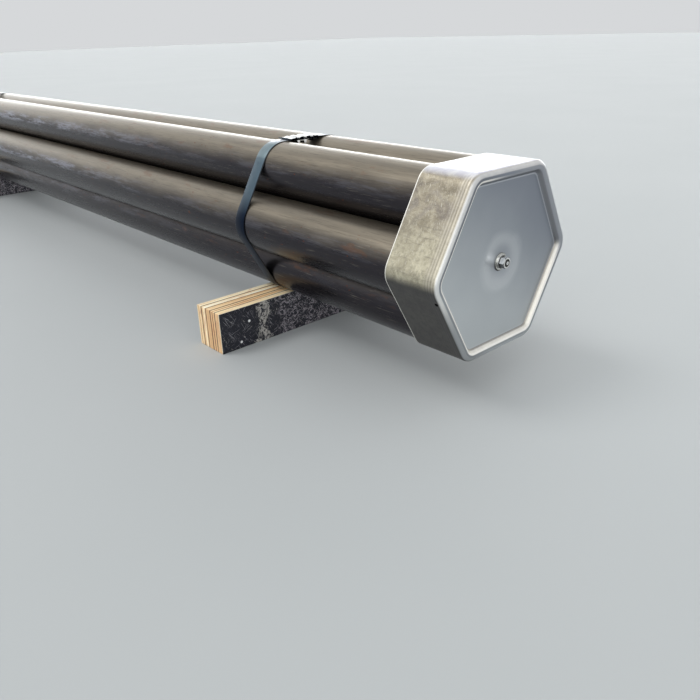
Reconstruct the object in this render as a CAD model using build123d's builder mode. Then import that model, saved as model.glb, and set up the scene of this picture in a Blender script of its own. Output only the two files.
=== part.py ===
"""A bundle of seven threaded drill rods, capped at both ends, strapped and laid on two timber bearers.

Sizes are in millimetres. The rods lie along X, with their box ends at +X, and +Z is up. The origin is on
the floor under the middle of the bundle.
"""
import os
from math import cos, hypot, pi, radians, sin

from build123d import *

# Drill rods: a tube with a female box thread at one end and a male pin thread at the other
rod_diameter = 114.3
rod_bore = 101.6
rod_body_length = 3050.0
rod_edge_chamfer = 1.0
pin_length = 60.0
pin_root_diameter = 109.4
pin_nose_diameter = 106.6
pin_shoulder_chamfer = 1.0
box_thread_clearance = 0.4
box_depth_past_pin = 4.0

# How the rods lie: one in the middle and a ring of six around it, at the corners of a hexagon
hexagon_sides = 6
rod_gap = 0.3

# End caps: deep pressed sheet steel, with a rolled rim around a flat panel that the nut draws into a dish
cap_sheet = 2.0
cap_depth = 109.0
cap_clearance = 0.7
cap_corner_radius = 36.0
cap_front_radius = 9.0
rim_width = 15.0
panel_recess = 9.0
panel_slope_width = 6.5
panel_corner_radius = 20.0
panel_edge_radius = 5.0
dish_depth = 4.0
dish_bore_clearance = 1.0
dish_floor_past_washer = 3.0
rod_end_clearance = 0.5
vent_hole_diameter = 4.0
vent_hole_from_front = 8.0
vent_hole_from_corner = 36.0

# Tie rod, with its washers and nuts
tie_rod_diameter = 12.0
tie_rod_end_chamfer = 1.2
tie_rod_past_nut = 1.0
tie_rod_hole_clearance = 1.0
nut_across_flats = 18.0
nut_height = 10.0
nut_bore_clearance = 0.1
nut_corner_chamfer = 0.9
plate_washer_diameter = 30.0
plate_washer_thickness = 2.5
washer_diameter = 24.0
washer_thickness = 2.5
washer_bore_clearance = 0.5

# Steel straps: each end of the band passes through the seal and a little beyond it
strap_width = 32.0
strap_thickness = 0.9
strap_gap = 0.3
strap_inset = 533.0
strap_upper_tail = 10.0
strap_upper_tail_lift = 4.0
strap_lap_past_seal = 8.0
strap_lower_tail = 4.0
strap_lower_tail_clearance = 1.0

# Strap seals: folded sheet sleeves, notched along both edges
seal_length = 70.0
seal_sheet = 0.9
seal_offset = 4.0
seal_side_clearance = 0.4
seal_under_clearance = 0.1
seal_over_clearance = 1.2
crimp_count = 3
crimp_pitch = 17.5
crimp_depth = 4.0

# Laminated timber bearers
bearer_height = 90.0
bearer_width = 86.0
bearer_length = 532.0
bearer_inset = 542.0
bearer_edge_chamfer = 1.0
bearer_strap_gap = 0.3

# Worked out from the sizes above
rod_radius = rod_diameter / 2
rod_pitch = rod_diameter + rod_gap
row_height = rod_pitch * sin(radians(60))
pack_half_height = row_height + rod_radius
strap_underside = pack_half_height + strap_gap
strap_outside = strap_underside + strap_thickness
pack_centre_z = bearer_height + bearer_strap_gap + strap_outside
panel_back = panel_recess + cap_sheet
rod_overall_length = rod_body_length + pin_length
bundle_length = rod_overall_length + 2 * (rod_end_clearance + panel_back)
half_length = bundle_length / 2
box_face_x = half_length - panel_back - rod_end_clearance
cap_half_height = pack_half_height + cap_clearance + cap_sheet
cap_half_width = cap_half_height / cos(radians(30))
dish_floor_x = half_length - panel_recess - dish_depth
dish_radius = rod_bore / 2 - dish_bore_clearance
dish_floor_radius = plate_washer_diameter / 2 + dish_floor_past_washer
washer_face_x = dish_floor_x + plate_washer_thickness
nut_back_x = washer_face_x + washer_thickness
nut_face_x = nut_back_x + nut_height
tie_rod_end_x = nut_face_x + tie_rod_past_nut
strap_x = half_length - strap_inset
bearer_x = half_length - bearer_inset

os.makedirs("parts", exist_ok=True)


def save(piece, name):
    """Labels a finished piece and writes it under its name."""
    piece.label = name
    export_step(piece, f"parts/{name}.step")


def save_both_ends(piece, name):
    """Writes a piece of the box end, and its mirror image at the pin end."""
    save(piece, f"{name}_box_end")
    with BuildPart() as twin:
        add(piece)
        mirror(about=Plane.YZ, mode=Mode.REPLACE)
    save(twin.part, f"{name}_pin_end")


def across(x):
    """The plane across the bundle at x, with the bundle's Y and Z as its own axes from the pack's centre."""
    return Plane(origin=(x, 0, pack_centre_z), x_dir=(0, 1, 0), z_dir=(1, 0, 0))


# Drill rods
box_mouth_diameter = pin_root_diameter + box_thread_clearance
box_depth = pin_length + box_depth_past_pin
box_taper = (pin_root_diameter - pin_nose_diameter) / pin_length
box_end_diameter = box_mouth_diameter - box_taper * box_depth
shoulder_x = box_face_x - rod_body_length
nose_x = shoulder_x - pin_length

with BuildPart() as rod:
    with BuildSketch(Plane.XZ):
        with BuildLine():
            Polyline(
                (nose_x, rod_bore / 2),
                (nose_x, pin_nose_diameter / 2),
                (shoulder_x, pin_root_diameter / 2),
                (shoulder_x, rod_radius - pin_shoulder_chamfer),
                (shoulder_x + pin_shoulder_chamfer, rod_radius),
                (box_face_x - rod_edge_chamfer, rod_radius),
                (box_face_x, rod_radius - rod_edge_chamfer),
                (box_face_x, box_mouth_diameter / 2),
                (box_face_x - box_depth, box_end_diameter / 2),
                (box_face_x - box_depth, rod_bore / 2),
                close=True,
            )
        make_face()
    revolve(axis=Axis.X)


def ring_place(index):
    """Where rod number index of the ring around the middle one lies, as Y and Z from the pack's centre."""
    angle = 2 * pi * index / hexagon_sides
    return rod_pitch * cos(angle), rod_pitch * sin(angle)


rod_places = {
    "rod_centre": (0, 0),
    "rod_middle_right": ring_place(0),
    "rod_top_right": ring_place(1),
    "rod_top_left": ring_place(2),
    "rod_middle_left": ring_place(3),
    "rod_bottom_left": ring_place(4),
    "rod_bottom_right": ring_place(5),
}
for rod_name, (rod_y, rod_z) in rod_places.items():
    with BuildPart() as placed_rod:
        with Locations((0, rod_y, pack_centre_z + rod_z)):
            add(rod.part)
    save(placed_rod.part, rod_name)


# End caps: the same form is cut once at the outer skin and once a sheet's thickness inside it
def rounded_hexagon(half_height, corner_radius):
    """A hexagon lying on a flat, half_height from its centre to each flat, with rounded corners."""
    RegularPolygon(radius=half_height, side_count=hexagon_sides, major_radius=False)
    fillet(vertices(), radius=corner_radius)


def cap_form(inset):
    """The cap's form as a solid, inset from its outer skin, from the cap's open edge to its front."""
    front_x = half_length - inset
    open_x = half_length - cap_depth
    slope_length = hypot(panel_slope_width, panel_recess)
    panel_shift = inset * (slope_length - panel_slope_width) / panel_recess
    panel_top = cap_half_height - rim_width + panel_shift
    panel_top_radius = panel_corner_radius + panel_shift
    with BuildPart() as form:
        with BuildSketch(across(open_x)):
            rounded_hexagon(cap_half_height - inset, cap_corner_radius - inset)
        extrude(amount=front_x - open_x)
        fillet(faces().sort_by(Axis.X)[-1].edges(), radius=cap_front_radius - inset)
        with BuildSketch(across(front_x)):
            rounded_hexagon(panel_top, panel_top_radius)
        with BuildSketch(across(front_x - panel_recess)):
            rounded_hexagon(panel_top - panel_slope_width, panel_top_radius - panel_slope_width)
        loft(ruled=True, mode=Mode.SUBTRACT)
        fillet(faces().sort_by(Axis.X)[-1].inner_wires()[0].edges(), radius=panel_edge_radius - inset)
        with BuildSketch(across(front_x - panel_recess)):
            Circle(dish_radius)
        with BuildSketch(across(front_x - panel_recess - dish_depth)):
            Circle(dish_floor_radius)
        loft(ruled=True, mode=Mode.SUBTRACT)
    return form.part


hole_radius = tie_rod_diameter / 2 + tie_rod_hole_clearance
flat_angle = radians(210)
vent_from_middle = cap_half_width / 2 - vent_hole_from_corner
vent_y = cap_half_height * cos(flat_angle) + vent_from_middle * sin(flat_angle)
vent_z = cap_half_height * sin(flat_angle) - vent_from_middle * cos(flat_angle)
vent_plane = Plane(
    origin=(half_length - vent_hole_from_front, vent_y, pack_centre_z + vent_z),
    x_dir=(1, 0, 0),
    z_dir=(0, cos(flat_angle), sin(flat_angle)),
)

with BuildPart() as cap:
    add(cap_form(0))
    add(cap_form(cap_sheet), mode=Mode.SUBTRACT)
    with BuildSketch(across(half_length)):
        Circle(hole_radius)
    extrude(amount=-2 * (panel_back + dish_depth), mode=Mode.SUBTRACT)
    with BuildSketch(vent_plane):
        Circle(vent_hole_diameter / 2)
    extrude(amount=cap_front_radius, both=True, mode=Mode.SUBTRACT)
save_both_ends(cap.part, "cap")


# Tie rod, washers and nuts
with BuildPart() as tie_rod:
    with BuildSketch(across(-tie_rod_end_x)):
        Circle(tie_rod_diameter / 2)
    extrude(amount=2 * tie_rod_end_x)
    chamfer(edges().filter_by(GeomType.CIRCLE), length=tie_rod_end_chamfer)
save(tie_rod.part, "tie_rod")


def washer_at(back_x, outside_diameter, thickness):
    """A flat ring on the tie rod, with its back face at back_x."""
    with BuildPart() as washer:
        with BuildSketch(across(back_x)):
            Circle(outside_diameter / 2)
            Circle(tie_rod_diameter / 2 + washer_bore_clearance, mode=Mode.SUBTRACT)
        extrude(amount=thickness)
    return washer.part


save_both_ends(washer_at(dish_floor_x, plate_washer_diameter, plate_washer_thickness), "plate_washer")
save_both_ends(washer_at(washer_face_x, washer_diameter, washer_thickness), "washer")

nut_corner_radius = nut_across_flats / 2 / cos(radians(30))
with BuildPart() as nut:
    with BuildSketch(across(nut_back_x)):
        Circle(nut_corner_radius)
    extrude(amount=nut_height)
    chamfer(edges().filter_by(GeomType.CIRCLE), length=nut_corner_chamfer)
    with BuildSketch(across(nut_back_x)):
        RegularPolygon(radius=nut_across_flats / 2, side_count=hexagon_sides, major_radius=False)
        Circle(tie_rod_diameter / 2 + nut_bore_clearance, mode=Mode.SUBTRACT)
    extrude(amount=nut_height, mode=Mode.INTERSECT)
save_both_ends(nut.part, "nut")


# Straps and seals
def wrap(distance):
    """The area inside a band drawn tight round the pack, at a distance from the ring of rod centres."""
    with BuildSketch() as area:
        RegularPolygon(radius=rod_pitch, side_count=hexagon_sides)
        offset(amount=distance, kind=Kind.ARC)
    return area.sketch


seal_middle_y = -seal_offset
seal_left_y = seal_middle_y - seal_length / 2
seal_right_y = seal_middle_y + seal_length / 2
upper_layer_top = strap_outside + strap_thickness
tail_tip_y = seal_left_y - strap_upper_tail
lap_end_y = seal_right_y + strap_lap_past_seal
lower_tail_y = seal_right_y + strap_lower_tail_clearance
notch_reach = 2 * (upper_layer_top - pack_half_height)


def crimp_notches():
    """The V notches bitten into both edges of a seal, and into the band inside it."""
    half_width = strap_width / 2 + seal_side_clearance + seal_sheet
    with BuildPart() as notches:
        with BuildSketch(Plane.XY.offset(pack_centre_z + pack_half_height)):
            with Locations((strap_x, seal_middle_y)):
                with GridLocations(2 * half_width, crimp_pitch, 2, crimp_count):
                    RegularPolygon(radius=crimp_depth, side_count=4)
        extrude(amount=notch_reach, both=True)
    return notches.part


with BuildPart() as strap:
    with BuildSketch(across(strap_x - strap_width / 2)):
        add(wrap(rod_radius + strap_gap + strap_thickness))
        add(wrap(rod_radius + strap_gap), mode=Mode.SUBTRACT)
        with BuildLine():
            Polyline(
                (lap_end_y, strap_outside),
                (lap_end_y - strap_thickness, upper_layer_top),
                (seal_left_y, upper_layer_top),
                (tail_tip_y, upper_layer_top + strap_upper_tail_lift),
                (tail_tip_y, strap_outside + strap_upper_tail_lift),
                (seal_left_y, strap_outside),
                close=True,
            )
        make_face()
        with Locations((lower_tail_y, strap_outside)):
            Rectangle(strap_thickness, strap_thickness + strap_lower_tail, align=(Align.MIN, Align.MAX))
    extrude(amount=strap_width)
    add(crimp_notches(), mode=Mode.SUBTRACT)
save_both_ends(strap.part, "strap")

seal_passage_width = strap_width + 2 * seal_side_clearance
seal_passage_bottom = strap_underside - seal_under_clearance
seal_passage_top = upper_layer_top + seal_over_clearance
seal_width = seal_passage_width + 2 * seal_sheet
seal_bottom = seal_passage_bottom - seal_sheet
seal_top = seal_passage_top + seal_sheet

with BuildPart() as seal:
    with BuildSketch(Plane.XY.offset(pack_centre_z + seal_bottom)):
        with Locations((strap_x, seal_middle_y)):
            Rectangle(seal_width, seal_length)
    extrude(amount=seal_top - seal_bottom)
    with BuildSketch(Plane.XY.offset(pack_centre_z + seal_passage_bottom)):
        with Locations((strap_x, seal_middle_y)):
            Rectangle(seal_passage_width, seal_length)
    extrude(amount=seal_passage_top - seal_passage_bottom, mode=Mode.SUBTRACT)
    add(crimp_notches(), mode=Mode.SUBTRACT)
save_both_ends(seal.part, "seal")


# Bearers
with BuildPart() as bearer:
    with BuildSketch(Plane.XY):
        with Locations((bearer_x, 0)):
            Rectangle(bearer_width, bearer_length)
    extrude(amount=bearer_height)
    chamfer(edges(), length=bearer_edge_chamfer)
save_both_ends(bearer.part, "bearer")
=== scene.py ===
"""The looks of a bundle of seven threaded drill rods: fine shapes, finishes, floor, light and camera.

Lengths are in metres, in the frame of the model. The rods lie along X with their box ends at +X, Z is up,
and the origin is on the floor under the middle of the bundle.
"""
from math import ceil, cos, hypot, pi, radians, sin, tan

import bmesh
import bpy
from mathutils import Matrix, Vector


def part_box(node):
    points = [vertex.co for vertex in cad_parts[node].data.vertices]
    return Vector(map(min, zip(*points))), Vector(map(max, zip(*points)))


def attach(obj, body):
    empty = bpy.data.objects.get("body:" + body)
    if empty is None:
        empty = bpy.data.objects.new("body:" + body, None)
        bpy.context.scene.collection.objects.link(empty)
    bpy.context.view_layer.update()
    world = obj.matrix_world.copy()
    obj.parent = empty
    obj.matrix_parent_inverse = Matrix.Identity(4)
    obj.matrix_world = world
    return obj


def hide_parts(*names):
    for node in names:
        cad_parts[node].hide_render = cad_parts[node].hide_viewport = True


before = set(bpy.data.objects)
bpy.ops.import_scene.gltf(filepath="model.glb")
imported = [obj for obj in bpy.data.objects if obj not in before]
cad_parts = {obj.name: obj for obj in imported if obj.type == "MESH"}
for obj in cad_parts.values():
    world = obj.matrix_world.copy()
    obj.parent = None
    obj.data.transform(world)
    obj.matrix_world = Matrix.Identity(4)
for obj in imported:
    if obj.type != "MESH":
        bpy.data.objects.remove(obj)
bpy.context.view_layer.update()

mm = 0.001
weld_reach = 0.002 * mm


def middle(node):
    """The middle of a node's box."""
    low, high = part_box(node)
    return (low + high) / 2


def span(node):
    """The size of a node's box."""
    low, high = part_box(node)
    return high - low


# Sizes of the drill rods that their boxes don't give
rod_bore_radius = 50.8 * mm
rod_edge = 1.0 * mm
pin_length = 60 * mm
pin_root_radius = 54.7 * mm
pin_nose_radius = 53.3 * mm
box_mouth_radius = 54.9 * mm
box_depth = 64 * mm
box_end_radius = 53.4 * mm
rod_thread_pitch = 8 * mm
rod_thread_depth = 1.1 * mm
rod_sides = 96

# Sizes of the end caps
cap_sheet = 2 * mm
cap_corner_radius = 36 * mm
cap_front_radius = 9 * mm
rim_width = 15 * mm
rim_crown = 0.7 * mm
rim_crest_from_wall = 11 * mm
rim_crest_radius = 20 * mm
rim_shoulder_drop = 0.4 * mm
rim_shoulder_radius = 5 * mm
panel_recess = 9 * mm
panel_slope_width = 6.5 * mm
panel_root_radius = 1.5 * mm
panel_corner_radius = 20 * mm
panel_crown = 0.7 * mm
dish_depth = 4 * mm
dish_radius = 49.8 * mm
dish_floor_radius = 18 * mm
dish_bend_radius = 60 * mm
round_from_dish = 20 * mm
nearly_round = 0.97
wall_wave = 0.5 * mm
draw_line_pitch = 5.6 * mm
draw_line_depth = 0.12 * mm
outer_skin_spacing = 3 * mm
inner_skin_spacing = 6 * mm
vent_from_front = 8 * mm
vent_from_corner = 36 * mm
vent_radius = 2 * mm
vent_sides = 24

# Sizes of the tie rod and what is on it
tie_thread_pitch = 1.75 * mm
tie_thread_depth = 1.0 * mm
tie_thread_length = 30 * mm
tie_hole_clearance = 1 * mm
tie_chamfer = 1.2 * mm
tie_centre_mark = 0.2 * mm
tie_sides = 36
washer_bore_radius = 6.5 * mm
washer_edge = 0.4 * mm
washer_bore_edge = 0.3 * mm
washer_seam_from_bore = 1 * mm
nut_bore_radius = 5.6 * mm
nut_countersink = 0.9 * mm
nut_face_inset = 0.3 * mm
nut_corner_cut = 0.25 * mm
turned_sides = 96

# Sizes of the straps and their seals
strap_thickness = 0.9 * mm
strap_edge = 0.3 * mm
strap_end_from_seal = 1.5 * mm
strap_end_length = 4 * mm
strap_end_lean = 0.3 * mm
strap_end_bend = 2 * mm
strap_tail_length = 10 * mm
strap_tail_lift = 3.8 * mm
strap_tail_bend = 18 * mm
strap_tail_bend_from_seal = 2 * mm
lap_start_from_seal = 12 * mm
lap_end_from_seal = 5 * mm
lap_bend = 10 * mm
strap_spacing = 12 * mm
seal_sheet = 0.9 * mm
seal_edge = 1.3 * mm
seal_inner_edge = 0.2 * mm
crimp_count = 3
seal_row = 1 * mm
crimp_pitch = 17.5 * mm
crimp_depth = 4.5 * mm
crimp_lift = 1.4 * mm
lip_sag = 3.4 * mm

# Sizes of the bearers
board_count = 5
board_edge = 0.5 * mm
saw_unevenness = 0.25 * mm

# Worked out from the boxes of the frame
rod_radius = span("rod_centre").z / 2
pack_centre_z = middle("rod_centre").z
pack_axis = {"Axis Y": 0.0, "Axis Z": pack_centre_z}
rods_from_right = ("rod_middle_right", "rod_top_right")
rods_from_top_left = ("rod_top_left", "rod_middle_left", "rod_bottom_left", "rod_bottom_right")
low_row_low, low_row_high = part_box("rod_bottom_left")
tie_radius = span("tie_rod").z / 2
cap_low, cap_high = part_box("cap_box_end")
cap_depth = cap_high.x - cap_low.x
cap_half_height = (cap_high.z - cap_low.z) / 2
strap_low, strap_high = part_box("strap_box_end")
strap_x = (strap_low.x + strap_high.x) / 2
strap_half_width = (strap_high.x - strap_low.x) / 2
band_offset = low_row_low.z - strap_low.z - strap_thickness / 2
seal_low, seal_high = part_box("seal_box_end")
seal_middle = (seal_low + seal_high) / 2
bearer_low, bearer_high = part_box("bearer_box_end")
board_width = (bearer_high.x - bearer_low.x) / board_count

# The vent hole lies in the lower left wall, near the left corner
low_left_wall = radians(210)
low_left_way = Vector((0, cos(low_left_wall), sin(low_left_wall)))
along_wall = Vector((0, sin(low_left_wall), -cos(low_left_wall)))
vent_from_middle = cap_half_height / cos(radians(30)) / 2 - vent_from_corner
vent_place = low_left_way * cap_half_height + along_wall * vent_from_middle
vent_place += Vector((cap_high.x - vent_from_front, 0, pack_centre_z))


def put(name, data):
    """Puts a new object into the scene."""
    thing = bpy.data.objects.new(name, data)
    bpy.context.scene.collection.objects.link(thing)
    return thing


def plain_mesh(thing, modifier):
    """The mesh that a modifier makes of an object. The modifier is then removed."""
    done = thing.evaluated_get(bpy.context.evaluated_depsgraph_get())
    mesh = bpy.data.meshes.new_from_object(done)
    thing.modifiers.remove(modifier)
    return mesh


class Sock:
    """A node's output that works in arithmetic: each operation on it adds a Math node."""

    def __init__(self, graph, socket):
        self.graph = graph
        self.socket = socket

    def __add__(self, other):
        return maths("ADD", self, other)

    def __sub__(self, other):
        return maths("SUBTRACT", self, other)

    def __rsub__(self, other):
        return maths("SUBTRACT", other, self)

    def __mul__(self, other):
        return maths("MULTIPLY", self, other)

    def __truediv__(self, other):
        return maths("DIVIDE", self, other)

    def __mod__(self, other):
        return maths("FLOORED_MODULO", self, other)

    def __abs__(self):
        return maths("ABSOLUTE", self)

    __radd__ = __add__
    __rmul__ = __mul__


class Graph:
    """A node tree that is written as expressions."""

    def __init__(self, tree):
        self.tree = tree

    def feed(self, socket, value):
        """Links an output to a socket, or sets the socket to a value."""
        if isinstance(value, Sock):
            self.tree.links.new(value.socket, socket)
        else:
            socket.default_value = value

    def node(self, kind, settings=None, inputs=None, output=0):
        """Adds a node: first its settings, then its sockets. Gives back one of its outputs."""
        made = self.tree.nodes.new(kind)
        for name, value in (settings or {}).items():
            setattr(made, name, value)
        for name, value in (inputs or {}).items():
            self.feed(made.inputs[name], value)
        return Sock(self, made.outputs[output])

    def end(self, kind, value):
        """Ends the tree in its output node."""
        self.feed(self.tree.nodes.new(kind).inputs[0], value)


def add_node(kind, settings, inputs, output=0):
    """Adds a node to the tree that its inputs come from."""
    graph = next(value.graph for value in inputs.values() if isinstance(value, Sock))
    return graph.node(kind, settings, inputs, output)


def maths(operation, *values):
    """A Math node on one to three values."""
    return add_node("ShaderNodeMath", {"operation": operation}, dict(enumerate(values)))


def vectors(operation, *values, output="Vector"):
    """A Vector Math node on one or two vectors."""
    return add_node("ShaderNodeVectorMath", {"operation": operation}, dict(enumerate(values)), output)


def scaled(vector, factor):
    """A vector times a number."""
    return add_node("ShaderNodeVectorMath", {"operation": "SCALE"}, {"Vector": vector, "Scale": factor})


def length_of(vector):
    """The length of a vector."""
    return vectors("LENGTH", vector, output="Value")


def toward(vector, way):
    """How far a vector reaches in a direction."""
    return vectors("DOT_PRODUCT", vector, way, output="Value")


def parts(vector):
    """The X, Y and Z of a vector."""
    x = add_node("ShaderNodeSeparateXYZ", None, {0: vector})
    return [Sock(x.graph, output) for output in x.socket.node.outputs]


def joined(x, y, z):
    """A vector from its X, Y and Z."""
    return add_node("ShaderNodeCombineXYZ", None, {"X": x, "Y": y, "Z": z})


def most(first, *others):
    """The greatest of some values."""
    for other in others:
        first = maths("MAXIMUM", first, other)
    return first


def step(value, start, end, low=0.0, high=1.0):
    """Goes smoothly from low to high while the value goes from start to end."""
    limits = {"Value": value, "From Min": start, "From Max": end, "To Min": low, "To Max": high}
    return add_node("ShaderNodeMapRange", {"interpolation_type": "SMOOTHSTEP"}, limits)


def near(value, place, reach, core):
    """1 within the core of a place, and 0 past its reach."""
    return step(abs(value - place), reach, core)


def between(value, start, full, fading, end):
    """Rises from start to full, stays at 1, and is gone again from fading to end."""
    return step(value, start, full) * step(value, end, fading)


def noise(place, size, detail=2.0, rough=0.5, twist=0.0, stretch=(1, 1, 1)):
    """Soft noise from 0 to 1 in spots of about this size, drawn out along an axis of little stretch."""
    drawn = vectors("MULTIPLY", place, stretch)
    look = {"Vector": drawn, "Scale": 1 / size, "Detail": detail, "Roughness": rough, "Distortion": twist}
    return add_node("ShaderNodeTexNoise", None, look)


def linear(value):
    """A screen value from 0 to 255 as a share of light."""
    share = value / 255
    return share / 12.92 if share <= 0.04045 else ((share + 0.055) / 1.055) ** 2.4


def blend(factor, first, second, mode="MIX"):
    """Mixes two colours, each the output of a node or three screen values."""
    colours = [c if isinstance(c, Sock) else (*map(linear, c), 1.0) for c in (first, second)]
    mixed = {0: factor, 6: colours[0], 7: colours[1]}
    return add_node("ShaderNodeMix", {"data_type": "RGBA", "blend_type": mode}, mixed, 2)


class Finish(Graph):
    """A material: what its patterns read of the surface, and the colour that it has so far."""

    def __init__(self, name):
        self.material = bpy.data.materials.new(name)
        self.material.use_nodes = True
        super().__init__(self.material.node_tree)
        self.tree.nodes.clear()
        self.place = self.node("ShaderNodeTexCoord", output="Object")
        self.x, self.y, self.z = parts(self.place)
        self.along, self.across, self.up = parts(self.node("ShaderNodeNewGeometry", output="Normal"))

    def base(self, factor, first, second):
        """Starts the colour, as a mix of two."""
        self.tone = blend(factor, first, second)

    def coat(self, factor, colour):
        """Lays another colour over the one so far."""
        self.tone = blend(factor, self.tone, colour)

    def pattern(self, size, detail, rough, stretch=(1, 1, 1), twist=0.0, turn=(0, 0, 0)):
        """Noise that lies still on the piece, turned by degrees about each axis before it is drawn out."""
        place = self.place
        if any(turn):
            angles = tuple(radians(angle) for angle in turn)
            place = add_node("ShaderNodeMapping", None, {"Vector": place, "Rotation": angles})
        return noise(place, size, detail, rough, twist, stretch)

    def close(self, relief=None, depth=0.0, **sockets):
        """Ends the material, with a relief of some depth and other sockets, and gives it back."""
        if relief:
            sockets["Normal"] = add_node("ShaderNodeBump", None, {"Height": relief, "Distance": depth})
        shader = add_node("ShaderNodeBsdfPrincipled", None, {"Base Color": self.tone, **sockets})
        self.end("ShaderNodeOutputMaterial", shader)
        return self.material


def oiled_steel():
    """The rods' skin: dark mill finish with streaks, scuffs and rust specks, lighter on top with dust and
    painted light, darker below with oil and painted shade, and darker on the low row with painted shade.
    """
    skin = Finish("oiled mill steel")
    fine = skin.pattern(2.4 * mm, 4, 0.65, (0.05, 1, 1))
    streaks = skin.pattern(9 * mm, 4, 0.6, (0.07, 1, 1))
    bands = skin.pattern(24 * mm, 3, 0.55, (0.03, 1, 1))
    clouds = skin.pattern(55 * mm, 4, 0.6, (0.4, 1, 1), twist=0.4)
    grain = skin.pattern(1.5 * mm, 2, 0.6)
    # Painted shade: the low row, under the rows above it, gets less of the lighter top colour.
    lit_above_low_row = step(skin.z, low_row_high.z, low_row_high.z + 12 * mm, 0.35, 1.0)
    # Painted light with dust: faces that look up are lighter; faces that look down are darker, with oil.
    height = skin.up + 0.35 * (clouds - 0.5) + 0.3 * (bands - 0.5)
    lit_and_dusty = step(height, 0.1, 0.85) * lit_above_low_row
    shaded_oily = blend(streaks, (44, 43, 52), (62, 58, 60))
    lit_dust = blend(streaks, (128, 119, 104), (152, 143, 127))
    skin.base(lit_and_dusty, shaded_oily, lit_dust)
    darker = blend(0.6, skin.tone, (50, 47, 48))
    lighter = blend(0.4, skin.tone, (176, 168, 154))
    skin.coat(step(fine, 0.5, 0.7, 0, 0.6), darker)
    skin.coat(step(fine, 0.42, 0.28, 0, 0.6), lighter)
    skin.coat(step(bands, 0.5, 0.72, 0, 0.45), darker)
    flank = between(skin.up, 0.0, 0.2, 0.4, 0.66)
    scuffed = step(skin.pattern(18 * mm, 6, 0.76, (0.12, 1, 1)), 0.46, 0.6)
    scuff = scuffed * flank * lit_above_low_row * step(skin.x, 0.9, -0.4, 0.15, 1.0)
    scuff = scuff * step(fine, 0.38, 0.56, 0.25, 1.0)
    skin.coat(scuff * 0.9, (166, 168, 180))
    specks = step(skin.pattern(5 * mm, 2, 0.5, (0.45, 1, 1)), 0.68, 0.74)
    rust_zone = step(skin.pattern(90 * mm, 2, 0.5), 0.48, 0.62)
    skin.coat(specks * rust_zone * 0.8, (112, 60, 38))
    rusty = step(skin.pattern(26 * mm, 4, 0.65, (0.3, 1, 1)), 0.58, 0.7)
    skin.coat(rusty * step(skin.up, 0.0, 0.4) * 0.4, (122, 84, 62))
    rough = 0.2 + 0.1 * streaks + 0.06 * clouds + 0.05 * lit_and_dusty + 0.1 * scuff
    relief = 0.5 * fine + 0.5 * streaks + 0.3 * grain
    return skin.close(relief, 0.05 * mm, Metallic=0.9, Roughness=rough)


def paint_cap_walls(skin, height, mottle):
    """Paints a cap's drawn walls: scratches, draw lines, a bright cut edge, painted light lower down and on
    the top, and painted shade high up and on faces that look down. Gives back their relief.
    """
    from_front = cap_high.x - abs(skin.x)
    patches = skin.pattern(22 * mm, 5, 0.66, (0.8, 1, 1), twist=0.8)
    speckle = skin.pattern(2 * mm, 2, 0.6)
    drawn = skin.pattern(2.6 * mm, 3, 0.65, (0.06, 1, 1))
    # Painted light and shade: the walls are darker high up and lighter low down.
    patched = step(patches, 0.36, 0.64)
    high_wall_shaded = blend(patched, (132, 123, 106), (174, 165, 146))
    low_wall_lit = blend(patched, (178, 171, 149), (208, 202, 178))
    skin.base(step(height, 115 * mm, 15 * mm), high_wall_shaded, low_wall_lit)
    blotch = step(skin.pattern(38 * mm, 3, 0.6, twist=0.5), 0.46, 0.62)
    skin.coat(blotch * step(height, 50 * mm, 100 * mm) * 0.4, (122, 116, 120))
    skin.coat(step(mottle, 0.46, 0.7, 0, 0.6), (140, 134, 120))
    skin.coat(step(mottle, 0.44, 0.28, 0, 0.4), (190, 186, 170))
    skin.coat(step(speckle, 0.5, 0.8, 0, 0.3), (194, 190, 178))
    skin.coat(step(drawn, 0.54, 0.75, 0, 0.5), (112, 108, 100))
    for turn, size, share, colour in (
        ((40, 25, 0), 1.6 * mm, 0.6, (216, 212, 198)),
        ((-35, 0, 20), 1.4 * mm, 0.5, (212, 208, 194)),
        ((75, 10, 0), 1.2 * mm, 0.45, (110, 104, 92)),
    ):
        scratches = skin.pattern(size, 3, 0.6, (1, 1, 0.07), turn=turn)
        skin.coat(step(scratches, 0.6, 0.7) * share, colour)
    from_line = abs(from_front / draw_line_pitch % 1 - 0.5)
    near_front = step(from_front, 30 * mm, 16 * mm)
    skin.coat(near_front * 0.45, (192, 185, 170))
    skin.coat(step(from_line, 0.36, 0.46) * near_front * 0.4, (104, 98, 88))
    skin.coat(step(from_line, 0.14, 0.04) * near_front * 0.4, (228, 222, 208))
    # Painted shade: faces that look down are darkened.
    skin.coat(step(skin.up, 0.15, -0.35) * 0.9, (71, 71, 75))
    # Painted light: faces that look up are nearly white.
    lit_top_wall = blend(patched, (226, 225, 236), (244, 244, 247))
    skin.coat(step(skin.up, 0.7, 0.98) * 0.9, lit_top_wall)
    cut_edge = step(cap_depth - from_front, 2.2 * mm, 1.2 * mm)
    skin.coat(cut_edge * 0.9, (250, 248, 240))
    return 0.5 * patches + 0.3 * mottle + 0.15 * speckle + 0.3 * drawn


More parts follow.
